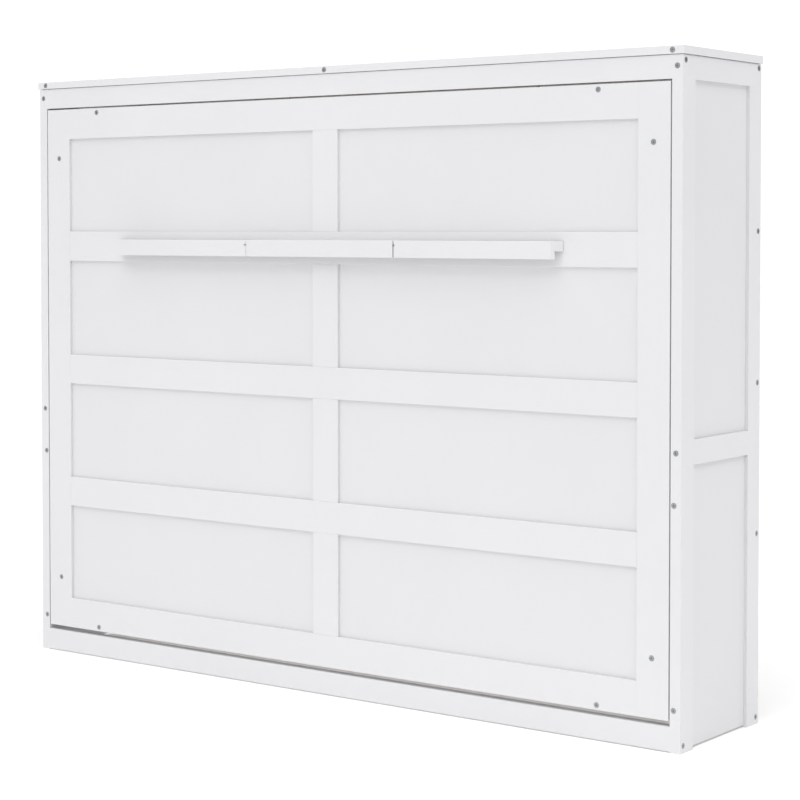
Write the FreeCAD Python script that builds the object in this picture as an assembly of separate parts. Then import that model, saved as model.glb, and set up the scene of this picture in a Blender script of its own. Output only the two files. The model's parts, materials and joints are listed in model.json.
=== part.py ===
import FreeCAD, Part
import math
import os

# Murphy wall bed, folded up in its cabinet. Millimetres, +Z up, the room on the -Y side.
# X = 0 is the middle of the cabinet, Z = 0 the floor, Y = 0 midway between bar front and back.

# Driving dimensions of the cabinet.
HALF_WIDTH = 1012.0      # from the middle to the outer face of a post
HEIGHT = 1575.0
DEPTH = 375.0            # front plane to back plane
BAR_PROUD = 31.0         # the bar stands this far in front of the door
FRONT = -(DEPTH - BAR_PROUD) / 2.0   # Y of the front plane; depths below count back from it
TOP_THICK = 18.0
TOP_LIP = 4.0            # the top overhangs the sides by this much
TOP_FRONT_LIP = 3.0
REVEAL_HIGH = 1.5        # fine shadow line under the top, cut into the pieces below it
REVEAL_DEEP = 5.0
POST_WIDE = 27.0
POST_DEEP = 58.0
RAIL_HIGH = 56.0
TOP_RAIL_HIGH = 54.5
RAIL_THICK = 25.0
BACK_RAIL_THICK = 24.0
FLOOR_GAP = 2.5          # under the front and back bottom rails
PANEL_FLOOR_GAP = 5.0
INNER_FACE = HALF_WIDTH - POST_WIDE
UNDER_TOP = HEIGHT - TOP_THICK
TOP_RAIL_LOW = UNDER_TOP - TOP_RAIL_HIGH
BACK_IN = DEPTH - POST_DEEP

# Sides of the cabinet.
MID_RAIL = (643.0, 699.0)
SIDE_PANEL_OUT = 1004.0
SIDE_PANEL_IN = 999.0
INNER_RAIL_CENTRES = (96.0, 555.0)
BACK_RAIL_CENTRES = (31.0, 453.0, 809.0, 1165.0, 1529.0)

# Door and bed frame.
DOOR_HALF = 981.5
DOOR_LOW = 71.0
DOOR_HIGH = 1498.0
DOOR_THICK = 18.0
STILE_WIDE = 83.0
MULLION_HALF = 40.0
PANEL_SINK = 7.0
PANEL_THICK = 8.0
DOOR_RAILS = ((71.0, 151.8), (408.5, 488.0), (746.0, 825.5), (1083.0, 1164.0), (1417.0, 1498.0))
FRAME_BACK = 95.0        # depth of the bed frame's back edge
BOARD = 22.0             # thickness of the bed frame's boards
CLEAT_FRONT = 38.0
SLAT_FRONT = 60.0
SLAT_THICK = 12.0
SLAT_WIDE = 64.0
SLAT_COUNT = 14
END_CLEAT_X = 938.0
CLEAT_THICK = 18.0

# Fold pivot of the bed, and the gas struts.
PIVOT_DEPTH = 30.0
PIVOT_HIGH = 380.0
PIN_R = 6.0
PLATE_DEPTHS = (8.0, 52.0)           # of the pin's plate, let into the post
PLATE_ZS = (350.0, 410.0)
PLATE_THICK = 3.0
PLATE_SCREWS = ((14.0, 357.0), (46.0, 357.0), (14.0, 403.0), (46.0, 403.0))
BUSH_R = 9.0
FLANGE_R = 13.0
RUN_GAP = 0.05           # radial clearance of a running fit
STRUT_X = 968.0
STRUT_TOP = (336.0, 970.0)           # depth and height of the upper pivot
STRUT_LOW = (PIVOT_DEPTH + 125.0, PIVOT_HIGH - 170.0)
TUBE_START = 18.0        # along the strut from its upper pivot
TUBE_LONG = 430.0
ROD_LONG = 456.0
TUBE_R = 10.0
TUBE_BORE = 8.0
ROD_R = 5.0
EYE_R = 9.0
EYE_THICK = 9.0
STUD_R = 4.0

# Bar on the door: a fixed middle piece and two fold-out legs.
BAR_Z = (1100.6, 1142.7)
BAR_GROOVE_TOP = 1118.6
BAR_LIP = 11.0
BAR_MIDDLE_HALF = 232.7
LEG_START = 233.7
LEG_END_DOOR = 702.5
LEG_END_ROOM = 685.0
LEG_PIN_INSET = 7.0      # of the leg's pin from its end and from the room-side face
LEG_PIN_R = 2.5
TONGUE_Z = (1129.0, 1132.0)          # steel tongue that joins the leg to the middle piece
TONGUE_R = 5.5
TONGUE_BURIED = 30.0
LEG_BACK_GAP = 1.5

# Fasteners.
BOLT_HEAD_R = 6.5
BOLT_R = 3.0
HEAD_SINK = 3.0
NUT_R = 5.0
# Side rail bolts: x, height, and the length of each one's barrel nut.
SIDE_RAIL_BOLTS = ((998.0, 1531.0, 18.0), (998.0, 672.0, 18.0), (993.5, 555.0, 13.0), (994.5, 96.0, 13.8))
SCREW_HOLE_R = 2.0
SCREW_LONG = 18.0
DOWEL_LONG = 30.0
STRUT_SCREW_RISE = 28.0  # of the strut bracket's two screws above and below its stud

SIDES = {"left": -1, "right": 1}
X_AXIS = FreeCAD.Vector(1, 0, 0)
Y_AXIS = FreeCAD.Vector(0, 1, 0)
Z_AXIS = FreeCAD.Vector(0, 0, 1)


def at(x, depth, z):
    """A point, given by its depth behind the front plane."""
    return FreeCAD.Vector(x, FRONT + depth, z)


def block(xs, depths, zs):
    """A square-edged piece between two x, two depths and two heights."""
    x0, x1 = sorted(xs)
    d0, d1 = depths
    z0, z1 = zs
    return Part.makeBox(x1 - x0, d1 - d0, z1 - z0, at(x0, d0, z0))


def rod(radius, length, start, direction):
    return Part.makeCylinder(radius, length, start, direction)


def bolt(place):
    """A flat-headed bolt with a hexagon socket."""
    start, way, length = place[0], place[1], place[2]
    head = rod(BOLT_HEAD_R, HEAD_SINK, start, way)
    corners = []
    side_a = FreeCAD.Vector(way.y, way.z, way.x)
    side_b = way.cross(side_a)
    for step in range(7):
        turn = math.radians(60 * step)
        corners.append(start + side_a * (2.3 * math.cos(turn)) + side_b * (2.3 * math.sin(turn)))
    socket = Part.Face(Part.makePolygon(corners)).extrude(way * 2.4)
    shank = rod(BOLT_R, length - HEAD_SINK, start + way * HEAD_SINK, way)
    return head.fuse(shank).cut(socket)


def bolt_hole(place):
    """The counterbored hole for a bolt, a little longer than the bolt."""
    start, way, length = place[0], place[1], place[2]
    mouth = rod(BOLT_HEAD_R + 0.3, HEAD_SINK + 1.0, start - way, way)
    return mouth.fuse(rod(BOLT_R + 0.2, length + 1.0, start, way))


def nut_shape(place, inner_x_way):
    """A barrel nut, let in flush from the piece's inner face, that a bolt screws into."""
    start, way, length = place[0], place[1], place[2]
    centre = start + way * (length - 8.0)
    inward, reach, long = inner_x_way
    return rod(NUT_R, long, centre + inward * reach, inward * -1)


def save(name, shape):
    shape.exportStep("parts/" + name + ".step")


def front_rail_bolts():
    """Bolts through the front posts' outer faces into the top and bottom rails."""
    places = []
    for side in SIDES.values():
        for z in (17.0, 1544.0):
            places.append((at(side * HALF_WIDTH, 14.0, z), X_AXIS * -side, 62.0, (Y_AXIS, 11.0, 18.0)))
    return places


def back_rail_bolts():
    """Bolts through the back posts' outer faces into the five back rails."""
    places = []
    depth = DEPTH - BACK_RAIL_THICK / 2.0
    for side in SIDES.values():
        for z in (17.0, 453.0, 809.0, 1165.0, 1546.0):
            places.append((at(side * HALF_WIDTH, depth, z), X_AXIS * -side, 62.0, (Y_AXIS * -1, 12.0, 18.0)))
    return places


def side_rail_bolts():
    """Bolts through the posts' front and back faces into the side rails."""
    places = []
    for side in SIDES.values():
        for x, z, long in SIDE_RAIL_BOLTS:
            inward = (X_AXIS * -side, x - INNER_FACE, long)
            places.append((at(side * x, 0.0, z), Y_AXIS, 96.0, inward))
            places.append((at(side * x, DEPTH, z), Y_AXIS * -1, 96.0, inward))
    return places


def top_bolts():
    """Bolts that draw the top's front strip onto the board behind it."""
    z = HEIGHT - TOP_THICK / 2.0
    return [(at(x, -TOP_FRONT_LIP, z), Y_AXIS, 99.0) for x in (-987.0, 0.0, 987.0)]


def door_bolt_places():
    """Bolts that hold the door onto the bed frame."""
    places = []
    for side in SIDES.values():
        for z in (207.0, 1364.0):
            places.append((at(side * END_CLEAT_X, 0.0, z), Y_AXIS, 45.0))
        for z in (82.0, 1486.0):
            places.append((at(side * 794.0, 0.0, z), Y_AXIS, 60.0))
    return places


def frame_bolt_places():
    """Bolts through the bed frame's end boards into its long boards."""
    places = []
    for side in SIDES.values():
        for z in (82.0, 1487.0):
            for depth in (38.0, 75.0):
                places.append((at(side * DOOR_HALF, depth, z), X_AXIS * -side, 60.0))
    return places


def dowel_places():
    """Wooden dowels beside the bolts: centre of each joint and its direction."""
    places = []
    for side in SIDES.values():
        for z in (44.0, 1515.0):
            places.append((at(side * INNER_FACE, 12.5, z), X_AXIS))
            places.append((at(side * INNER_FACE, 363.0, z), X_AXIS))
        for centre in BACK_RAIL_CENTRES[1:4]:
            for shift in (-16.0, 16.0):
                places.append((at(side * INNER_FACE, 363.0, centre + shift), X_AXIS))
        for z in (1514.0, 656.0):
            for depth in (POST_DEEP, BACK_IN):
                places.append((at(side * 998.0, depth, z), Y_AXIS))
        for depth in (36.0, 340.0):
            places.append((at(side * 1000.0, depth, UNDER_TOP), Z_AXIS))
    return places


def reveals():
    """The shadow line's cuts, along the front and both sides, just under the top."""
    zs = (UNDER_TOP - REVEAL_HIGH, UNDER_TOP)
    cuts = [block((-HALF_WIDTH, HALF_WIDTH), (0.0, REVEAL_DEEP), zs)]
    for side in SIDES.values():
        cuts.append(block((side * (HALF_WIDTH - REVEAL_DEEP), side * HALF_WIDTH), (0.0, DEPTH), zs))
    return cuts


NUTTED = front_rail_bolts() + back_rail_bolts() + side_rail_bolts()
CABINET_BOLTS = NUTTED + top_bolts()
CABINET_HOLES = [bolt_hole(place) for place in CABINET_BOLTS]
CABINET_HOLES += [nut_shape(place, place[3]) for place in NUTTED]
CABINET_HOLES += [rod(4.0, 32.0, centre - way * 16.0, way) for centre, way in dowel_places()]
CABINET_HOLES += reveals()
BED_HOLES = [bolt_hole(place) for place in door_bolt_places() + frame_bolt_places()]


def drilled(shape, holes):
    """The piece with every hole that reaches it."""
    for hole in holes:
        if shape.BoundBox.intersect(hole.BoundBox):
            shape = shape.cut(hole)
    return shape


def wood(name, shape, holes):
    save(name, drilled(shape, holes))


def wall_holes():
    """Two screw holes in each of the two upper back rails, for fixing to the wall."""
    holes = []
    for x in (-406.4, 406.4):
        for z in (1165.0, 1529.0):
            holes.append(rod(4.0, BACK_RAIL_THICK + 2.0, at(x, DEPTH - BACK_RAIL_THICK - 1.0, z), Y_AXIS))
    return holes


def strut_screw_heights():
    return (STRUT_TOP[1] - STRUT_SCREW_RISE, STRUT_TOP[1] + STRUT_SCREW_RISE)


def make_posts():
    for word, side in SIDES.items():
        out = X_AXIS * side
        xs = (side * INNER_FACE, side * HALF_WIDTH)
        front = block(xs, (0.0, POST_DEEP), (0.0, UNDER_TOP))
        pocket_xs = (side * INNER_FACE, side * (INNER_FACE + PLATE_THICK))
        front = front.cut(block(pocket_xs, PLATE_DEPTHS, PLATE_ZS))
        for depth, z in PLATE_SCREWS:
            front = front.cut(rod(SCREW_HOLE_R, SCREW_LONG + 2.0, at(side * INNER_FACE, depth, z), out))
        wood("post_front_" + word, front, CABINET_HOLES)
        back = block(xs, (BACK_IN, DEPTH), (0.0, UNDER_TOP))
        for z in strut_screw_heights():
            back = back.cut(rod(SCREW_HOLE_R, SCREW_LONG, at(side * INNER_FACE, STRUT_TOP[0], z), out))
        wood("post_back_" + word, back, CABINET_HOLES)


def make_top():
    half = HALF_WIDTH + TOP_LIP
    zs = (UNDER_TOP, HEIGHT)
    wood("top_front_strip", block((-half, half), (-TOP_FRONT_LIP, POST_DEEP), zs), CABINET_HOLES)
    wood("top_board", block((-half, half), (POST_DEEP, DEPTH), zs), CABINET_HOLES)


def make_front_rails():
    xs = (-INNER_FACE, INNER_FACE)
    depths = (0.0, RAIL_THICK)
    wood("front_top_rail", block(xs, depths, (TOP_RAIL_LOW, UNDER_TOP)), CABINET_HOLES)
    wood("front_bottom_rail", block(xs, depths, (FLOOR_GAP, FLOOR_GAP + RAIL_HIGH)), CABINET_HOLES)


def make_back_rails():
    names = ("bottom", "low", "middle", "high", "top")
    for name, centre in zip(names, BACK_RAIL_CENTRES):
        low = max(centre - RAIL_HIGH / 2.0, FLOOR_GAP)
        zs = (low, centre + RAIL_HIGH / 2.0)
        rail = block((-INNER_FACE, INNER_FACE), (DEPTH - BACK_RAIL_THICK, DEPTH), zs)
        wood("back_rail_" + name, rail, CABINET_HOLES + wall_holes())


def make_sides():
    inner = []
    for word, side in SIDES.items():
        between = (POST_DEEP, BACK_IN)
        thick = (side * INNER_FACE, side * HALF_WIDTH)
        wood("side_top_rail_" + word, block(thick, between, (TOP_RAIL_LOW, UNDER_TOP)), CABINET_HOLES)
        wood("side_middle_rail_" + word, block(thick, between, MID_RAIL), CABINET_HOLES)
        sheet = (side * SIDE_PANEL_IN, side * SIDE_PANEL_OUT)
        save("side_panel_upper_" + word, block(sheet, between, (MID_RAIL[1], TOP_RAIL_LOW)))
        save("side_panel_lower_" + word, block(sheet, between, (PANEL_FLOOR_GAP, MID_RAIL[0])))
        for centre in INNER_RAIL_CENTRES:
            zs = (centre - RAIL_HIGH / 2.0, centre + RAIL_HIGH / 2.0)
            rail = block((side * INNER_FACE, side * SIDE_PANEL_IN), between, zs)
            inner.append(drilled(rail, CABINET_HOLES))
    save("side_inner_rails", Part.makeCompound(inner))


def make_stops():
    """Blocks under the side top rails, with rubber pads, that the closed bed frame leans on."""
    blocks = []
    pads = []
    for side in SIDES.values():
        xs = (side * 962.0, side * INNER_FACE)
        blocks.append(block(xs, (FRAME_BACK + 3.3, FRAME_BACK + 33.0), (1420.0, TOP_RAIL_LOW + 30.0)))
        pads.append(rod(8.0, 3.0, at(side * 973.0, FRAME_BACK + 0.3, 1460.0), Y_AXIS))
    save("stop_blocks", Part.makeCompound(blocks))
    save("stop_pads", Part.makeCompound(pads))


def screw(start, way):
    """A small wood screw with a slot across its head, which stands on the face at the start."""
    top = start - way * 1.8
    head = rod(3.6, 1.8, top, way)
    slot = block((-3.0, 3.0), (-0.5, 0.5), (-0.4, 0.4))
    slot.translate(top - FreeCAD.Vector(0, FRONT, 0))
    return head.fuse(rod(1.9, SCREW_LONG, start, way)).cut(slot)


def make_pivots():
    """Pins on plates let into the front posts, and the flanged bushes that turn on them."""
    pins = []
    bushes = []
    screws = []
    for side in SIDES.values():
        out = X_AXIS * side
        face = side * INNER_FACE
        plate = block((face, side * (INNER_FACE + PLATE_THICK)), PLATE_DEPTHS, PLATE_ZS)
        pin = rod(PIN_R, INNER_FACE - DOOR_HALF + BOARD - 1.0, at(face, PIVOT_DEPTH, PIVOT_HIGH), out * -1)
        plate = plate.fuse(pin)
        for depth, z in PLATE_SCREWS:
            plate = plate.cut(rod(SCREW_HOLE_R, PLATE_THICK, at(face, depth, z), out))
            screws.append(screw(at(face, depth, z), out))
        pins.append(plate)
        bush_end = at(side * (DOOR_HALF - BOARD), PIVOT_DEPTH, PIVOT_HIGH)
        bush = rod(BUSH_R, BOARD, bush_end, out)
        flange = rod(FLANGE_R, 1.2, at(side * DOOR_HALF, PIVOT_DEPTH, PIVOT_HIGH), out)
        bore = rod(PIN_R + RUN_GAP, BOARD + 4.0, bush_end - out, out)
        bushes.append(bush.fuse(flange).cut(bore))
        for z in strut_screw_heights():
            screws.append(screw(at(side * (INNER_FACE - PLATE_THICK), STRUT_TOP[0], z), out))
    save("pivot_pins", Part.makeCompound(pins))
    save("pivot_bushes", Part.makeCompound(bushes))
    save("plate_screws", Part.makeCompound(screws))


def make_door():
    half = DOOR_HALF
    inner = half - STILE_WIDE
    depths = (0.0, DOOR_THICK)
    for word, side in SIDES.items():
        stile = block((side * inner, side * half), depths, (DOOR_LOW, DOOR_HIGH))
        wood("door_stile_" + word, stile, BED_HOLES)
    for name, zs in zip(("bottom", "low", "middle", "high", "top"), DOOR_RAILS):
        wood("door_rail_" + name, block((-inner, inner), depths, zs), BED_HOLES)
    mullions = []
    for below, above in zip(DOOR_RAILS, DOOR_RAILS[1:]):
        mullions.append(block((-MULLION_HALF, MULLION_HALF), depths, (below[1], above[0])))
    save("door_mullions", Part.makeCompound(mullions))
    sunk = (PANEL_SINK, PANEL_SINK + PANEL_THICK)
    for word, side in SIDES.items():
        panels = []
        for below, above in zip(DOOR_RAILS, DOOR_RAILS[1:]):
            panels.append(block((side * MULLION_HALF, side * inner), sunk, (below[1], above[0])))
        save("door_panels_" + word, Part.makeCompound(panels))
    save("door_bolts", Part.makeCompound([bolt(place) for place in door_bolt_places()]))


def make_bed_frame():
    """The box of boards behind the door that carries the slats and the mattress."""
    depths = (DOOR_THICK, FRAME_BACK)
    long_half = DOOR_HALF - BOARD
    for word, side in SIDES.items():
        end = block((side * long_half, side * DOOR_HALF), depths, (DOOR_LOW, DOOR_HIGH))
        end = end.cut(rod(BUSH_R, BOARD, at(side * long_half, PIVOT_DEPTH, PIVOT_HIGH), X_AXIS * side))
        wood("bed_end_board_" + word, end, BED_HOLES)
    rims = {"bed_foot_board": (DOOR_HIGH - BOARD, DOOR_HIGH), "bed_wall_board": (DOOR_LOW, DOOR_LOW + BOARD)}
    for name, zs in rims.items():
        wood(name, block((-long_half, long_half), depths, zs), BED_HOLES)
    low = DOOR_LOW + BOARD
    high = DOOR_HIGH - BOARD
    end_in = END_CLEAT_X - CLEAT_THICK / 2.0
    end_out = END_CLEAT_X + CLEAT_THICK / 2.0
    cleats = []
    for side in SIDES.values():
        cleat = block((side * end_in, side * end_out), (DOOR_THICK, SLAT_FRONT), (low, high))
        cleats.append(drilled(cleat, BED_HOLES))
    for zs in ((low, low + CLEAT_THICK), (high - CLEAT_THICK, high)):
        cleats.append(drilled(block((-end_in, end_in), (CLEAT_FRONT, SLAT_FRONT), zs), BED_HOLES))
    save("bed_cleats", Part.makeCompound(cleats))
    middle = (low + high) / 2.0
    beam_zs = (middle - BOARD / 2.0, middle + BOARD / 2.0)
    save("bed_centre_beam", block((-end_in, end_in), (DOOR_THICK, SLAT_FRONT), beam_zs))
    slats = []
    pitch = 2.0 * (end_in - 4.0) / (SLAT_COUNT - 1)
    for number in range(SLAT_COUNT):
        x = -(end_in - 4.0) + number * pitch
        xs = (x - SLAT_WIDE / 2.0, x + SLAT_WIDE / 2.0)
        slats.append(block(xs, (SLAT_FRONT, SLAT_FRONT + SLAT_THICK), (low + 1.0, high - 1.0)))
    save("bed_slats", Part.makeCompound(slats))
    save("bed_frame_bolts", Part.makeCompound([bolt(place) for place in frame_bolt_places()]))


def leg_pin_point(side, z):
    return at(side * (LEG_START + LEG_PIN_INSET), LEG_PIN_INSET - BAR_PROUD, z)


def make_bar():
    """The middle piece, and a leg each side whose nose turns about an upright pin."""
    xs = (-BAR_MIDDLE_HALF, BAR_MIDDLE_HALF)
    middle = block(xs, (-BAR_PROUD, 0.0), BAR_Z)
    middle = middle.cut(block(xs, (BAR_LIP - BAR_PROUD, 0.0), (BAR_Z[0], BAR_GROOVE_TOP)))
    slot_z = (TONGUE_Z[0] - 0.3, TONGUE_Z[1] + 0.3)
    tongues = []
    pins = []
    for word, side in SIDES.items():
        leg = make_leg(side)
        pin_foot = leg_pin_point(side, BAR_Z[0] + 1.0)
        leg = leg.cut(rod(LEG_PIN_R + RUN_GAP, 43.0, leg_pin_point(side, BAR_Z[0] - 0.5), Z_AXIS))
        pin_x = side * (LEG_START + LEG_PIN_INSET)
        pin_depth = LEG_PIN_INSET - BAR_PROUD
        sweep = rod(9.0, slot_z[1] - slot_z[0], leg_pin_point(side, slot_z[0]), Z_AXIS)
        clear = block((side * (LEG_START - 3.0), pin_x), (-BAR_PROUD + 1.0, 0.0), slot_z)
        keep = block((pin_x, side * (LEG_START + 20.0)), (-BAR_PROUD - 2.0, -BAR_PROUD + 1.0), slot_z)
        leg = leg.cut(sweep.cut(keep)).cut(clear)
        save("leg_" + word, leg)
        neck_xs = (side * (BAR_MIDDLE_HALF - TONGUE_BURIED), pin_x)
        neck = block(neck_xs, (pin_depth - 3.0, pin_depth + 5.0), TONGUE_Z)
        disc = rod(TONGUE_R, TONGUE_Z[1] - TONGUE_Z[0], leg_pin_point(side, TONGUE_Z[0]), Z_AXIS)
        tongue = neck.fuse(disc).cut(rod(LEG_PIN_R, 3.0, leg_pin_point(side, TONGUE_Z[0]), Z_AXIS))
        tongues.append(tongue)
        middle = middle.cut(neck)
        pins.append(rod(LEG_PIN_R, 40.0, pin_foot, Z_AXIS))
    save("bar_middle", middle)
    save("leg_tongues", Part.makeCompound(tongues))
    save("leg_pins", Part.makeCompound(pins))


def make_leg(side):
    """One leg: slanted tip, finger groove along its lower back edge, rounded nose."""
    room = -BAR_PROUD
    axis_depth = LEG_PIN_INSET - BAR_PROUD
    outline = [at(side * (LEG_START + LEG_PIN_INSET), room, BAR_Z[0]),
               at(side * LEG_END_ROOM, room, BAR_Z[0]),
               at(side * LEG_END_DOOR, -LEG_BACK_GAP, BAR_Z[0]),
               at(side * LEG_START, -LEG_BACK_GAP, BAR_Z[0]),
               at(side * LEG_START, axis_depth, BAR_Z[0])]
    edges = [Part.makeLine(a, b) for a, b in zip(outline, outline[1:])]
    reach = LEG_PIN_INSET * (1.0 - math.sqrt(0.5))
    nose = at(side * (LEG_START + reach), room + reach, BAR_Z[0])
    edges.append(Part.Arc(outline[-1], nose, outline[0]).toShape())
    leg = Part.Face(Part.Wire(edges)).extrude(FreeCAD.Vector(0, 0, BAR_Z[1] - BAR_Z[0]))
    groove = block((side * (LEG_START - 1.0), side * (LEG_END_DOOR + 1.0)), (BAR_LIP - BAR_PROUD, 1.0),
                   (BAR_Z[0] - 1.0, BAR_GROOVE_TOP))
    return leg.cut(groove)


def make_struts():
    """Gas struts: the tube hangs from the back post, the rod's eye lies beside the bed's stud."""
    top = FreeCAD.Vector(0, FRONT + STRUT_TOP[0], STRUT_TOP[1])
    low = FreeCAD.Vector(0, FRONT + STRUT_LOW[0], STRUT_LOW[1])
    way = (low - top).normalize()
    length = (low - top).Length
    cabinet_plates = []
    bed_plates = []
    for word, side in SIDES.items():
        shift = FreeCAD.Vector(side * STRUT_X, 0, 0)
        eye_shift = FreeCAD.Vector(side * (STRUT_X - EYE_THICK / 2.0), 0, 0)
        out = X_AXIS * side
        eye = rod(EYE_R, EYE_THICK, top + eye_shift, out)
        tube = rod(TUBE_R, TUBE_LONG, top + shift + way * TUBE_START, way)
        neck = rod(5.0, 16.0, top + shift + way * 4.0, way)
        body = tube.fuse(neck).fuse(eye)
        body = body.cut(rod(STUD_R + RUN_GAP, EYE_THICK + 2.0, top + eye_shift - out, out))
        body = body.cut(rod(TUBE_BORE, TUBE_LONG - 20.0, top + shift + way * (TUBE_START + 10.0), way))
        body = body.cut(rod(ROD_R + RUN_GAP, 30.0, top + shift + way * TUBE_LONG, way))
        save("strut_tube_" + word, body)
        piston = rod(TUBE_BORE - 0.1, 10.0, top + shift + way * (length - ROD_LONG), way)
        stem = rod(ROD_R, ROD_LONG - 6.0, top + shift + way * (length - ROD_LONG), way)
        low_eye = rod(EYE_R, EYE_THICK, low + eye_shift, out)
        slim = low_eye.fuse(stem).fuse(piston)
        slim = slim.cut(rod(STUD_R + RUN_GAP, EYE_THICK + 2.0, low + eye_shift - out, out))
        save("strut_rod_" + word, slim)
        cabinet_plates.append(cabinet_bracket(side))
        bed_plates.append(bed_bracket(side))
    save("strut_brackets_cabinet", Part.makeCompound(cabinet_plates))
    save("strut_brackets_bed", Part.makeCompound(bed_plates))


def cabinet_bracket(side):
    depth, z = STRUT_TOP
    out = X_AXIS * side
    xs = (side * (INNER_FACE - PLATE_THICK), side * INNER_FACE)
    plate = block(xs, (depth - 15.0, depth + 14.0), (z - 38.0, z + 38.0))
    stud = rod(STUD_R, 20.0, at(side * (INNER_FACE - 23.0), depth, z), out)
    clip = rod(6.0, 2.0, at(side * (INNER_FACE - 24.0), depth, z), out)
    plate = plate.fuse(stud).fuse(clip)
    for hole_z in strut_screw_heights():
        plate = plate.cut(rod(SCREW_HOLE_R, PLATE_THICK, at(xs[0], depth, hole_z), out))
    return plate


def bed_bracket(side):
    depth, z = STRUT_LOW
    out = X_AXIS * side
    outer = DOOR_HALF - 0.5
    lug_x = outer - PLATE_THICK
    foot_depths = (FRAME_BACK, FRAME_BACK + PLATE_THICK)
    foot = block((side * (outer - BOARD + 1.0), side * outer), foot_depths, (z - 30.0, z + 30.0))
    lug = block((side * lug_x, side * outer), (foot_depths[1], depth), (z - 14.0, z + 14.0))
    lug = lug.fuse(rod(14.0, PLATE_THICK, at(side * lug_x, depth, z), out))
    stud = rod(STUD_R, 5.0, at(side * (lug_x - 5.0), depth, z), out)
    return foot.fuse(lug).fuse(stud)


def make_cabinet_fasteners():
    save("cabinet_bolts", Part.makeCompound([bolt(place) for place in CABINET_BOLTS]))
    nuts = []
    for place in NUTTED:
        start, way, length = place[0], place[1], place[2]
        thread = rod(BOLT_R, 30.0, start + way * (length - 20.0), way)
        nuts.append(nut_shape(place, place[3]).cut(thread))
    save("barrel_nuts", Part.makeCompound(nuts))
    dowels = [rod(3.9, DOWEL_LONG, centre - way * DOWEL_LONG / 2.0, way) for centre, way in dowel_places()]
    save("dowels", Part.makeCompound(dowels))


def main():
    os.makedirs("parts", exist_ok=True)
    make_posts()
    make_top()
    make_front_rails()
    make_back_rails()
    make_sides()
    make_stops()
    make_pivots()
    make_door()
    make_bed_frame()
    make_bar()
    make_struts()
    make_cabinet_fasteners()


main()
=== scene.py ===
import json
import logging
import math
from dataclasses import dataclass
from enum import Enum

import bmesh
import bpy
from mathutils import Matrix, Vector


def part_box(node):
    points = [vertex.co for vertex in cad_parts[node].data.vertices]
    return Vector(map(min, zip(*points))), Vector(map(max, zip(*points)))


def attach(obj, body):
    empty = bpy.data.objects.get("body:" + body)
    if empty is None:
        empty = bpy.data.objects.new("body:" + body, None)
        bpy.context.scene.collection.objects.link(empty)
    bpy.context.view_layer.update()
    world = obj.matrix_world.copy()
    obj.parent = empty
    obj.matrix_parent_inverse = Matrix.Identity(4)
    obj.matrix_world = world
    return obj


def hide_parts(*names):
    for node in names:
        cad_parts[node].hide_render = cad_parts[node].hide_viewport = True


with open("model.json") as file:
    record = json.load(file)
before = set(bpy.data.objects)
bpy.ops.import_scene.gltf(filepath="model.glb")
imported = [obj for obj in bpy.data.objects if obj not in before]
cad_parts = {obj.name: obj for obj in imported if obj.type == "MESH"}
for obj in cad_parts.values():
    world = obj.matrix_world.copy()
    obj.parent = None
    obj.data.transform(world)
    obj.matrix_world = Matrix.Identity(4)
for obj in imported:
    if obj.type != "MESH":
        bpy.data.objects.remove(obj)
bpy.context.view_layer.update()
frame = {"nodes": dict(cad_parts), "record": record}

logging.basicConfig(level=logging.INFO, format="%(levelname)s %(name)s: %(message)s")
LOG = logging.getLogger("wall_bed")

MM = 0.001
SIDES = ("left", "right")
Triple = tuple[float, float, float]
BODIES = frame["record"]["behaviour"]["bodies"]
BODY_OF = {node: body for body, nodes in BODIES.items() for node in nodes}
SLOT_OF = {part["node"]: part["material_slot"] for part in frame["record"]["subparts"]}


class Grain(Enum):
    """The direction in which a board's fibres, or a brush's strokes, run."""

    ALONG_X = (0.05, 1.0, 1.0)
    ALONG_Y = (1.0, 0.05, 1.0)
    ALONG_Z = (1.0, 1.0, 0.05)


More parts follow.
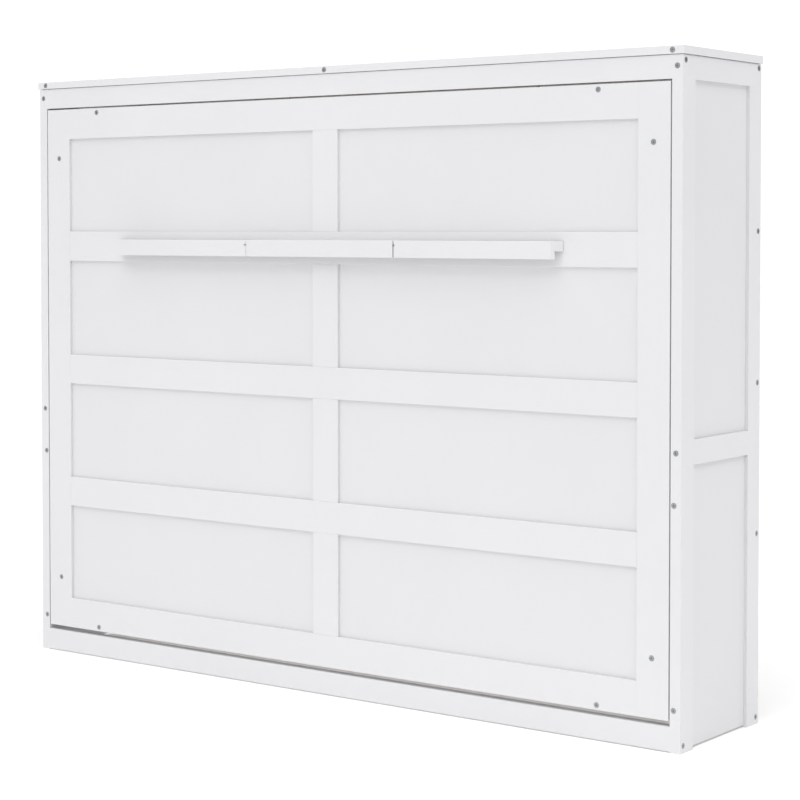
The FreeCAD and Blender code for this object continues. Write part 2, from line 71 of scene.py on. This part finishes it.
class NodeSketch:
    """A material's node tree, with short methods for the nodes that the finishes share."""

    NOISE_LOW = 0.3
    NOISE_HIGH = 0.7

    def __init__(self, name: str) -> None:
        """Starts an empty material with an output and a Principled shader.

        Args:
            name: The material's name.
        """
        self.material = bpy.data.materials.new(name)
        self.material.use_nodes = True
        self.tree = self.material.node_tree
        self.tree.nodes.clear()
        output = self.tree.nodes.new("ShaderNodeOutputMaterial")
        self.shader = self.tree.nodes.new("ShaderNodeBsdfPrincipled")
        self.tree.links.new(self.shader.outputs["BSDF"], output.inputs["Surface"])
        self.place = self.tree.nodes.new("ShaderNodeTexCoord").outputs["Object"]

    def stretched(self, scale: Triple) -> bpy.types.NodeSocket:
        """Object coordinates, scaled by a different amount along each axis.

        Args:
            scale: The factor along X, Y and Z.

        Returns:
            The scaled coordinates.
        """
        mapping = self.tree.nodes.new("ShaderNodeMapping")
        mapping.inputs["Scale"].default_value = scale
        self.tree.links.new(self.place, mapping.inputs["Vector"])
        return mapping.outputs["Vector"]

    def noise(self, place: bpy.types.NodeSocket, scale: float, detail: float = 2.0,
              distortion: float = 0.0) -> bpy.types.NodeSocket:
        """A noise pattern's grey value.

        Args:
            place: The coordinates to read.
            scale: Features per metre.
            detail: Octaves of finer detail.
            distortion: How far the pattern is pulled about.

        Returns:
            The noise value, from 0 to 1.
        """
        node = self.tree.nodes.new("ShaderNodeTexNoise")
        node.inputs["Scale"].default_value = scale
        node.inputs["Detail"].default_value = detail
        node.inputs["Distortion"].default_value = distortion
        self.tree.links.new(place, node.inputs["Vector"])
        return node.outputs["Fac"]

    def graded(self, value: bpy.types.NodeSocket,
               stops: tuple[tuple[float, Triple], ...]) -> bpy.types.NodeSocket:
        """A colour read off a ramp.

        Args:
            value: Where on the ramp to read.
            stops: Each stop's place and colour.

        Returns:
            The colour.
        """
        node = self.tree.nodes.new("ShaderNodeValToRGB")
        ramp = node.color_ramp
        while len(ramp.elements) < len(stops):
            ramp.elements.new(0.5)
        for element, (place, colour) in zip(ramp.elements, stops):
            element.position = place
            element.color = (*colour, 1.0)
        self.tree.links.new(value, node.inputs["Fac"])
        return node.outputs["Color"]

    def ranged(self, value: bpy.types.NodeSocket, low: float, high: float) -> bpy.types.NodeSocket:
        """A noise value moved from its usual range into another.

        Args:
            value: The value to move.
            low: The new low end.
            high: The new high end.

        Returns:
            The moved value.
        """
        node = self.tree.nodes.new("ShaderNodeMapRange")
        node.inputs["From Min"].default_value = self.NOISE_LOW
        node.inputs["From Max"].default_value = self.NOISE_HIGH
        node.inputs["To Min"].default_value = low
        node.inputs["To Max"].default_value = high
        self.tree.links.new(value, node.inputs["Value"])
        return node.outputs["Result"]

    def bump(self, value: bpy.types.NodeSocket, depth: float, strength: float,
             under: bpy.types.NodeSocket | None = None) -> bpy.types.NodeSocket:
        """A bumpy surface, laid over another where one is given.

        Args:
            value: The height pattern.
            depth: The height in metres that a full step of the pattern stands for.
            strength: How strongly it shows.
            under: Another bump's normal to build on.

        Returns:
            The bumped normal.
        """
        node = self.tree.nodes.new("ShaderNodeBump")
        node.inputs["Distance"].default_value = depth
        node.inputs["Strength"].default_value = strength
        self.tree.links.new(value, node.inputs["Height"])
        if under is not None:
            self.tree.links.new(under, node.inputs["Normal"])
        return node.outputs["Normal"]

    def feed(self, **sockets: bpy.types.NodeSocket) -> None:
        """Joins patterns to the shader's sockets, named with underscores for spaces."""
        for name, socket in sockets.items():
            self.tree.links.new(socket, self.shader.inputs[name.replace("_", " ")])

    def settle(self, **values: float) -> None:
        """Sets plain numbers on the shader's sockets, named with underscores for spaces."""
        for name, value in values.items():
            self.shader.inputs[name.replace("_", " ")].default_value = value


@dataclass(frozen=True)
class Paint:
    """Sprayed satin paint on wood: a fine stipple, faint stroke marks and an uneven sheen."""

    name: str
    colour: Triple
    grain: Grain
    roughness: float = 0.42
    drift: float = 0.012
    grain_show: float = 0.10
    grain_scale: float = 260.0
    grain_depth: float = 0.00006
    stipple_show: float = 0.16
    stipple_scale: float = 900.0
    stipple_depth: float = 0.00004
    cloud_scale: float = 3.5
    cloud_stops: tuple[float, float] = (0.30, 0.70)
    duller: float = 0.05
    shinier: float = 0.04
    refraction: float = 1.46
    coat: float = 0.08
    coat_roughness: float = 0.30

    def make(self) -> bpy.types.Material:
        """Builds the material.

        Returns:
            The paint's material.
        """
        sketch = NodeSketch(self.name)
        fibres = sketch.noise(sketch.stretched(self.grain.value), self.grain_scale, detail=4.0,
                              distortion=0.4)
        stipple = sketch.noise(sketch.place, self.stipple_scale, detail=3.0)
        clouds = sketch.noise(sketch.place, self.cloud_scale, detail=3.0)
        dark = tuple(part * (1.0 - self.drift) for part in self.colour)
        light = tuple(min(part * (1.0 + self.drift * 0.5), 1.0) for part in self.colour)
        sketch.feed(Base_Color=sketch.graded(clouds, tuple(zip(self.cloud_stops, (dark, light)))))
        sketch.feed(Roughness=sketch.ranged(clouds, self.roughness - self.shinier,
                                            self.roughness + self.duller))
        soft = sketch.bump(fibres, self.grain_depth, self.grain_show)
        sketch.feed(Normal=sketch.bump(stipple, self.stipple_depth, self.stipple_show, soft))
        sketch.settle(IOR=self.refraction, Coat_Weight=self.coat,
                      Coat_Roughness=self.coat_roughness)
        return sketch.material


@dataclass(frozen=True)
class Timber:
    """Planed softwood or beech: growth rings drawn out along the board, pores and darker flecks."""

    name: str
    light: Triple
    dark: Triple
    grain: Grain
    ring_scale: float = 55.0
    ring_stops: Triple = (0.34, 0.46, 0.62)
    ring_depth: float = 0.00015
    ring_show: float = 0.25
    fibre_scale: float = 700.0
    fibre_depth: float = 0.00008
    fibre_show: float = 0.35
    smoothest: float = 0.52
    roughest: float = 0.68
    refraction: float = 1.45

    def make(self) -> bpy.types.Material:
        """Builds the material.

        Returns:
            The wood's material.
        """
        sketch = NodeSketch(self.name)
        drawn = sketch.stretched(self.grain.value)
        rings = sketch.noise(drawn, self.ring_scale, detail=3.0, distortion=1.1)
        fibres = sketch.noise(drawn, self.fibre_scale, detail=3.0)
        middle = tuple((a * 2.0 + b) / 3.0 for a, b in zip(self.light, self.dark))
        stops = tuple(zip(self.ring_stops, (self.dark, middle, self.light)))
        sketch.feed(Base_Color=sketch.graded(rings, stops))
        sketch.feed(Roughness=sketch.ranged(fibres, self.smoothest, self.roughest))
        soft = sketch.bump(rings, self.ring_depth, self.ring_show)
        sketch.feed(Normal=sketch.bump(fibres, self.fibre_depth, self.fibre_show, soft))
        sketch.settle(IOR=self.refraction)
        return sketch.material


@dataclass(frozen=True)
class Metal:
    """A metal finish: cloudy tone, fine scratches and an uneven polish."""

    name: str
    light: Triple
    dark: Triple
    roughness: float
    grain: Grain = Grain.ALONG_X
    cloud_scale: float = 320.0
    cloud_stops: tuple[float, float] = (0.32, 0.68)
    scratch_scale: float = 2600.0
    scratch_depth: float = 0.00002
    scratch_show: float = 0.25
    duller: float = 0.08
    shinier: float = 0.06

    def make(self) -> bpy.types.Material:
        """Builds the material.

        Returns:
            The metal's material.
        """
        sketch = NodeSketch(self.name)
        clouds = sketch.noise(sketch.place, self.cloud_scale, detail=4.0, distortion=0.5)
        scratches = sketch.noise(sketch.stretched(self.grain.value), self.scratch_scale)
        stops = tuple(zip(self.cloud_stops, (self.dark, self.light)))
        sketch.feed(Base_Color=sketch.graded(clouds, stops))
        sketch.feed(Roughness=sketch.ranged(clouds, self.roughness - self.shinier,
                                            self.roughness + self.duller))
        sketch.feed(Normal=sketch.bump(scratches, self.scratch_depth, self.scratch_show))
        sketch.settle(Metallic=1.0)
        return sketch.material


@dataclass(frozen=True)
class Moulding:
    """A moulded or enamelled surface: fine texture, faint cloudiness."""

    name: str
    colour: Triple
    roughness: float
    texture: float
    cloud_scale: float = 60.0
    cloud_stops: tuple[float, float] = (0.30, 0.70)
    cloud_shade: float = 0.88
    pit_scale: float = 1800.0
    pit_depth: float = 0.00006
    duller: float = 0.07
    shinier: float = 0.05

    def make(self) -> bpy.types.Material:
        """Builds the material.

        Returns:
            The moulded surface's material.
        """
        sketch = NodeSketch(self.name)
        clouds = sketch.noise(sketch.place, self.cloud_scale, detail=3.0)
        pits = sketch.noise(sketch.place, self.pit_scale)
        dark = tuple(part * self.cloud_shade for part in self.colour)
        stops = tuple(zip(self.cloud_stops, (dark, self.colour)))
        sketch.feed(Base_Color=sketch.graded(clouds, stops))
        sketch.feed(Roughness=sketch.ranged(pits, self.roughness - self.shinier,
                                            self.roughness + self.duller))
        sketch.feed(Normal=sketch.bump(pits, self.pit_depth, self.texture))
        return sketch.material


class Finishes:
    """Every finish on the bed, each made once and shared."""

    WHITE = (0.705, 0.705, 0.715)
    # Painted shade: the recessed panels' white is a little darker than the frame's, standing in for
    # the shade in their recesses.
    PANEL_WHITE_WITH_PAINTED_SHADE = (0.69, 0.69, 0.702)
    PINE_LIGHT = (0.72, 0.53, 0.31)
    PINE_DARK = (0.52, 0.33, 0.16)

    def __init__(self) -> None:
        """Makes the materials."""
        words = {grain: grain.name.lower() for grain in Grain}
        self.paint = {grain: Paint(f"white_paint_{word}", self.WHITE, grain).make()
                      for grain, word in words.items()}
        # The panels' paint carries painted shade: its darker white stands in for the shade that
        # falls in the recesses.
        self.panel = {grain: Paint(f"panel_paint_with_painted_shade_{word}", self.PANEL_WHITE_WITH_PAINTED_SHADE, grain,
                                   roughness=0.46, grain_show=0.04).make()
                      for grain, word in words.items()}
        self.pine = {grain: Timber(f"pine_{word}", self.PINE_LIGHT, self.PINE_DARK, grain).make()
                     for grain, word in words.items()}
        self.beech = Timber("beech", light=(0.60, 0.42, 0.26), dark=(0.45, 0.29, 0.16),
                            grain=Grain.ALONG_X).make()
        self.zinc = Metal("zinc_plate", light=(0.42, 0.44, 0.44), dark=(0.30, 0.32, 0.32),
                          roughness=0.42).make()
        self.steel = Metal("bright_steel", light=(0.56, 0.57, 0.58), dark=(0.42, 0.43, 0.44),
                           roughness=0.34).make()
        self.chrome = Metal("chromed_rod", light=(0.80, 0.80, 0.82), dark=(0.70, 0.70, 0.72),
                            roughness=0.12, grain=Grain.ALONG_Z).make()
        self.black = Moulding("black_enamel", (0.022, 0.022, 0.024), roughness=0.32,
                              texture=0.10).make()
        self.nylon = Moulding("nylon", (0.72, 0.70, 0.64), roughness=0.45, texture=0.20).make()
        self.rubber = Moulding("black_rubber", (0.03, 0.03, 0.03), roughness=0.75,
                               texture=0.45).make()


@dataclass
class Workshop:
    """Makes pieces out of the frame's nodes: the same shape with its edges eased."""

    finishes: Finishes
    flat_angle: float = math.radians(0.5)
    edge_angle: float = math.radians(35.0)
    sharp_angle: float = math.radians(16.0)
    weld_gap: float = 0.001 * MM
    most_corners: int = 4

    def eased(self, node: str, radius: float, material: bpy.types.Material,
              steps: int = 2) -> bpy.types.Object:
        """A piece with a node's shape and softened edges, which stands for the node.

        Args:
            node: The node's name.
            radius: How far an edge is cut back, in metres.
            material: The piece's finish.
            steps: Faces across each eased edge.

        Returns:
            The new piece.
        """
        bm = bmesh.new()
        bm.from_mesh(frame["nodes"][node].data)
        bmesh.ops.remove_doubles(bm, verts=bm.verts[:], dist=self.weld_gap)
        bmesh.ops.dissolve_limit(bm, angle_limit=self.flat_angle, verts=bm.verts[:],
                                 edges=bm.edges[:])
        edges = [edge for edge in bm.edges
                 if len(edge.link_faces) == 2 and edge.calc_face_angle(0.0) > self.edge_angle]
        bmesh.ops.bevel(bm, geom=edges, offset=radius, offset_type="OFFSET", segments=steps,
                        profile=0.5, affect="EDGES", material=-1, clamp_overlap=True)
        return self.finish(bm, f"{node}_piece", material, BODY_OF[node], SLOT_OF[node], (node,))

    def finish(self, bm: bmesh.types.BMesh, name: str, material: bpy.types.Material, body: str,
               slot: str, nodes: tuple[str, ...] = ()) -> bpy.types.Object:
        """Turns a bmesh into a piece that rides on a body.

        Args:
            bm: The shape, which is freed.
            name: The piece's name.
            material: Its finish.
            body: The body that it rides on.
            slot: The record's material slot; not used.
            nodes: The nodes that it stands for.

        Returns:
            The piece.
        """
        mesh = bpy.data.meshes.new(name)
        many_sided = [face for face in bm.faces if len(face.verts) > self.most_corners]
        bmesh.ops.triangulate(bm, faces=many_sided)
        bm.to_mesh(mesh)
        bm.free()
        mesh.materials.clear()
        mesh.materials.append(material)
        mesh.polygons.foreach_set("material_index", [0] * len(mesh.polygons))
        mesh.polygons.foreach_set("use_smooth", [True] * len(mesh.polygons))
        mesh.set_sharp_from_angle(angle=self.sharp_angle)
        piece = bpy.data.objects.new(name, mesh)
        bpy.context.scene.collection.objects.link(piece)
        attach(piece, body)
        if nodes:
            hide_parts(*nodes)
        LOG.info("%s: %d faces on %s", name, len(mesh.polygons), body)
        return piece


@dataclass
class Cabinet:
    """The fixed part: posts, top, rails, side panels, stop blocks and their fixings."""

    shop: Workshop
    post_edge: float = 0.9 * MM
    rail_edge: float = 0.7 * MM
    panel_edge: float = 0.4 * MM
    bolt_edge: float = 0.25 * MM
    screw_edge: float = 0.15 * MM
    steel_edge: float = 0.3 * MM
    dowel_edge: float = 0.3 * MM
    pad_edge: float = 0.6 * MM

    def build(self) -> None:
        """Builds every piece of the cabinet."""
        finishes = self.shop.finishes
        upright = finishes.paint[Grain.ALONG_Z]
        across = finishes.paint[Grain.ALONG_X]
        deep = finishes.paint[Grain.ALONG_Y]
        for word in SIDES:
            for end in ("front", "back"):
                self.shop.eased(f"post_{end}_{word}", self.post_edge, upright)
            for name in ("top", "middle"):
                self.shop.eased(f"side_{name}_rail_{word}", self.rail_edge, deep)
            for name in ("upper", "lower"):
                self.shop.eased(f"side_panel_{name}_{word}", self.panel_edge,
                                finishes.panel[Grain.ALONG_Z])
        for name in ("top_front_strip", "top_board"):
            self.shop.eased(name, self.post_edge, across)
        for name in ("front_top_rail", "front_bottom_rail"):
            self.shop.eased(name, self.rail_edge, across)
        for name in ("bottom", "low", "middle", "high", "top"):
            self.shop.eased(f"back_rail_{name}", self.rail_edge, across)
        self.shop.eased("side_inner_rails", self.rail_edge, deep)
        self.shop.eased("stop_blocks", self.rail_edge, upright)
        self.shop.eased("stop_pads", self.pad_edge, finishes.rubber)
        self.shop.eased("cabinet_bolts", self.bolt_edge, finishes.zinc)
        self.shop.eased("barrel_nuts", self.bolt_edge, finishes.zinc)
        self.shop.eased("plate_screws", self.screw_edge, finishes.zinc)
        self.shop.eased("dowels", self.dowel_edge, finishes.beech)
        self.shop.eased("pivot_pins", self.steel_edge, finishes.steel)
        self.shop.eased("strut_brackets_cabinet", self.steel_edge, finishes.steel)


@dataclass
class Door:
    """The door that swings down with the bed: frame members, panels and bolts."""

    shop: Workshop
    edge: float = 0.7 * MM
    panel_edge: float = 0.4 * MM
    bolt_edge: float = 0.25 * MM

    def build(self) -> None:
        """Builds every piece of the door."""
        finishes = self.shop.finishes
        for word in SIDES:
            self.shop.eased(f"door_stile_{word}", self.edge, finishes.paint[Grain.ALONG_Z])
            self.shop.eased(f"door_panels_{word}", self.panel_edge, finishes.panel[Grain.ALONG_X])
        for name in ("bottom", "low", "middle", "high", "top"):
            self.shop.eased(f"door_rail_{name}", self.edge, finishes.paint[Grain.ALONG_X])
        self.shop.eased("door_mullions", self.edge, finishes.paint[Grain.ALONG_Z])
        self.shop.eased("door_bolts", self.bolt_edge, finishes.zinc)


@dataclass
class BedFrame:
    """The boards behind the door, with the slats that carry the mattress."""

    shop: Workshop
    edge: float = 1.2 * MM
    slat_edge: float = 2.0 * MM
    slat_steps: int = 3
    bolt_edge: float = 0.25 * MM
    bush_edge: float = 0.3 * MM
    bracket_edge: float = 0.3 * MM
    slat_count: int = 14
    slat_wide: float = 64.0 * MM
    screw_inset: float = 8.0 * MM
    screw_spread: float = 16.0 * MM
    screw_radius: float = 3.6 * MM
    screw_taper: float = 0.88
    screw_sides: int = 14
    screw_proud: float = 0.4 * MM
    screw_rim: float = 1.7 * MM
    screw_dish: float = 0.35 * MM

    def build(self) -> None:
        """Builds every piece of the bed frame."""
        finishes = self.shop.finishes
        for word in SIDES:
            self.shop.eased(f"bed_end_board_{word}", self.edge, finishes.paint[Grain.ALONG_Z])
        for name in ("bed_foot_board", "bed_wall_board"):
            self.shop.eased(name, self.edge, finishes.paint[Grain.ALONG_X])
        self.shop.eased("bed_cleats", self.edge, finishes.pine[Grain.ALONG_X])
        self.shop.eased("bed_centre_beam", self.edge, finishes.pine[Grain.ALONG_X])
        self.shop.eased("bed_slats", self.slat_edge, finishes.pine[Grain.ALONG_Z],
                        steps=self.slat_steps)
        self.shop.eased("bed_frame_bolts", self.bolt_edge, finishes.zinc)
        self.shop.eased("pivot_bushes", self.bush_edge, finishes.nylon)
        self.shop.eased("strut_brackets_bed", self.bracket_edge, finishes.steel)
        self.add_slat_screws()

    def screw_places(self) -> list[Vector]:
        """Where each slat is screwed down: two screws at each end and one in the middle.

        Returns:
            A point on the slats' face for each screw.
        """
        low, high = (Vector(corner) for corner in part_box("bed_slats"))
        pitch = (high.x - low.x - self.slat_wide) / (self.slat_count - 1)
        places = []
        for number in range(self.slat_count):
            middle = low.x + self.slat_wide / 2.0 + number * pitch
            for z in (low.z + self.screw_inset, high.z - self.screw_inset):
                for shift in (-self.screw_spread, self.screw_spread):
                    places.append(Vector((middle + shift, high.y, z)))
            places.append(Vector((middle, high.y, (low.z + high.z) / 2.0)))
        return places

    def add_slat_screws(self) -> None:
        """Sets the dished heads of the slats' screws."""
        bm = bmesh.new()
        upright = Matrix.Rotation(math.radians(-90.0), 4, "X")
        for place in self.screw_places():
            head = bmesh.ops.create_cone(bm, cap_ends=True, segments=self.screw_sides,
                                         radius1=self.screw_radius,
                                         radius2=self.screw_radius * self.screw_taper,
                                         depth=self.screw_proud * 2.0,
                                         matrix=Matrix.Translation(place) @ upright)
            faces = {face for vert in head["verts"] for face in vert.link_faces}
            cap = max(faces, key=lambda face: face.normal.y)
            bmesh.ops.inset_region(bm, faces=[cap], thickness=self.screw_rim)
            bmesh.ops.translate(bm, verts=cap.verts[:], vec=(0.0, -self.screw_dish, 0.0))
        bmesh.ops.recalc_face_normals(bm, faces=bm.faces[:])
        self.shop.finish(bm, "slat_screws", self.shop.finishes.zinc, "bed", "zinc")


@dataclass
class LegBar:
    """The bar on the door: its fixed middle piece, two fold-out legs and their hinges."""

    shop: Workshop
    edge: float = 1.0 * MM
    tongue_edge: float = 0.2 * MM
    pin_edge: float = 0.3 * MM

    def build(self) -> None:
        """Builds the bar's pieces."""
        paint = self.shop.finishes.paint[Grain.ALONG_X]
        self.shop.eased("bar_middle", self.edge, paint)
        for word in SIDES:
            self.shop.eased(f"leg_{word}", self.edge, paint)
        self.shop.eased("leg_tongues", self.tongue_edge, self.shop.finishes.steel)
        self.shop.eased("leg_pins", self.pin_edge, self.shop.finishes.steel)


@dataclass
class Struts:
    """The gas struts: black tubes and bright rods."""

    shop: Workshop
    tube_edge: float = 0.5 * MM
    rod_edge: float = 0.4 * MM

    def build(self) -> None:
        """Builds both struts."""
        for word in SIDES:
            self.shop.eased(f"strut_tube_{word}", self.tube_edge, self.shop.finishes.black)
            self.shop.eased(f"strut_rod_{word}", self.rod_edge, self.shop.finishes.chrome)


@dataclass(frozen=True)
class Lamp:
    """A soft square lamp: where it hangs, what it points at, its side in metres and its watts."""

    name: str
    place: Triple
    target: Triple
    size: float
    power: float


@dataclass
class Studio:
    """The floor, the lights and the camera."""

    lens: float = 94.722
    sensor: float = 36.0
    camera_at: Triple = (3.2938, -4.2680, 1.1690)
    camera_yaw: float = math.radians(36.4351)
    camera_pitch: float = math.radians(-1.9175)
    shift_x: float = -0.0150
    shift_y: float = -0.1250
    front_light: float = 0.75
    back_light: float = 0.42
    low_light: float = 0.6
    high_light: float = 1.0
    fade_reach: float = 0.6
    horizon_reach: float = 0.25
    backdrop: float = 1.1
    backdrop_colour: Triple = (0.99, 0.99, 1.0)
    key: Lamp = Lamp("key", (0.1, -3.8, 4.4), (0.0, -0.2, 0.9), 2.0, 34.0)
    side: Lamp = Lamp("side", (3.8, 0.1, 4.6), (1.0, 0.0, 1.2), 1.8, 46.0)
    overhead_light: float = 1.5
    overhead_spread: float = math.radians(70.0)
    overhead_way: Triple = (-0.15, 0.25, -1.0)
    floor_radius: float = 40.0
    floor_sides: int = 96
    floor_shade: float = 0.985
    floor_roughness: float = 0.9
    floor_clouds: float = 1.5
    floor_tone: Triple = (0.92, 0.92, 0.92)
    floor_glow: float = 0.13

    def build(self) -> None:
        """Builds the stage."""
        self.add_floor()
        self.add_world()
        self.add_lamp(self.key)
        self.add_sky_lamp()
        self.add_lamp(self.side)
        self.add_camera()
        bpy.context.scene.view_settings.view_transform = "Standard"

    def add_floor(self) -> None:
        """Lays the pale floor."""
        bm = bmesh.new()
        bmesh.ops.create_circle(bm, cap_ends=True, segments=self.floor_sides,
                                radius=self.floor_radius)
        mesh = bpy.data.meshes.new("studio_floor")
        bm.to_mesh(mesh)
        bm.free()
        sketch = NodeSketch("floor_paper")
        clouds = sketch.noise(sketch.place, self.floor_clouds)
        dark = tuple(part * self.floor_shade for part in self.floor_tone)
        sketch.feed(Base_Color=sketch.graded(clouds, ((sketch.NOISE_LOW, dark),
                                                      (sketch.NOISE_HIGH, self.floor_tone))))
        sketch.settle(Roughness=self.floor_roughness, Emission_Strength=self.floor_glow)
        sketch.shader.inputs["Emission Color"].default_value = (1.0, 1.0, 1.0, 1.0)
        mesh.materials.append(sketch.material)
        floor = bpy.data.objects.new("studio_floor", mesh)
        bpy.context.scene.collection.objects.link(floor)

    def add_world(self) -> None:
        """Puts a white backdrop behind the object, and lights it evenly but less brightly."""
        world = bpy.data.worlds.new("studio")
        world.use_nodes = True
        tree = world.node_tree
        way = tree.nodes.new("ShaderNodeSeparateXYZ")
        around = tree.nodes.new("ShaderNodeTexCoord").outputs["Generated"]
        tree.links.new(around, way.inputs["Vector"])
        room = self.faded(tree, way.outputs["Y"], self.fade_reach, self.front_light,
                          self.back_light)
        height = self.faded(tree, way.outputs["Z"], self.horizon_reach, self.low_light,
                            self.high_light)
        both = tree.nodes.new("ShaderNodeMath")
        both.operation = "MULTIPLY"
        tree.links.new(room, both.inputs[0])
        tree.links.new(height, both.inputs[1])
        seen = tree.nodes.new("ShaderNodeLightPath").outputs["Is Camera Ray"]
        strength = tree.nodes.new("ShaderNodeMapRange")
        tree.links.new(both.outputs["Value"], strength.inputs["To Min"])
        strength.inputs["To Max"].default_value = self.backdrop
        tree.links.new(seen, strength.inputs["Value"])
        background = tree.nodes["Background"]
        background.inputs["Color"].default_value = (*self.backdrop_colour, 1.0)
        tree.links.new(strength.outputs["Result"], background.inputs["Strength"])
        bpy.context.scene.world = world

    def faded(self, tree: bpy.types.NodeTree, value: bpy.types.NodeSocket, reach: float,
              low: float, high: float) -> bpy.types.NodeSocket:
        """A value moved to between two strengths as it goes from one side of zero to the other.

        Args:
            tree: The world's node tree.
            value: The value to move.
            reach: How far from zero the change ends, on either side.
            low: The strength below that range.
            high: The strength above it.

        Returns:
            The strength.
        """
        node = tree.nodes.new("ShaderNodeMapRange")
        node.inputs["From Min"].default_value = -reach
        node.inputs["From Max"].default_value = reach
        node.inputs["To Min"].default_value = low
        node.inputs["To Max"].default_value = high
        tree.links.new(value, node.inputs["Value"])
        return node.outputs["Result"]

    def add_lamp(self, lamp: Lamp) -> None:
        """Hangs a soft square lamp.

        Args:
            lamp: The lamp to hang.
        """
        data = bpy.data.lights.new(lamp.name, "AREA")
        data.shape = "SQUARE"
        data.size = lamp.size
        data.energy = lamp.power
        hung = bpy.data.objects.new(lamp.name, data)
        hung.location = lamp.place
        way = Vector(lamp.target) - Vector(lamp.place)
        hung.rotation_euler = way.to_track_quat("-Z", "Y").to_euler()
        bpy.context.scene.collection.objects.link(hung)

    def add_sky_lamp(self) -> None:
        """Adds the wide soft light from overhead."""
        data = bpy.data.lights.new("overhead", "SUN")
        data.energy = self.overhead_light
        data.angle = self.overhead_spread
        lamp = bpy.data.objects.new("overhead", data)
        lamp.rotation_euler = Vector(self.overhead_way).to_track_quat("-Z", "Y").to_euler()
        bpy.context.scene.collection.objects.link(lamp)

    def add_camera(self) -> None:
        """Sets up the camera."""
        data = bpy.data.cameras.new("camera")
        data.lens = self.lens
        data.sensor_width = self.sensor
        data.shift_x = self.shift_x
        data.shift_y = self.shift_y
        camera = bpy.data.objects.new("camera", data)
        camera.location = self.camera_at
        camera.rotation_euler = (math.radians(90.0) + self.camera_pitch, 0.0, self.camera_yaw)
        bpy.context.scene.collection.objects.link(camera)
        bpy.context.scene.camera = camera


def main() -> None:
    """Builds the stage and each sub-assembly in order."""
    Studio().build()
    shop = Workshop(Finishes())
    for part in (Cabinet(shop), Door(shop), BedFrame(shop), LegBar(shop), Struts(shop)):
        part.build()
        LOG.info("%s is built", type(part).__name__)


if __name__ == "__main__":
    main()
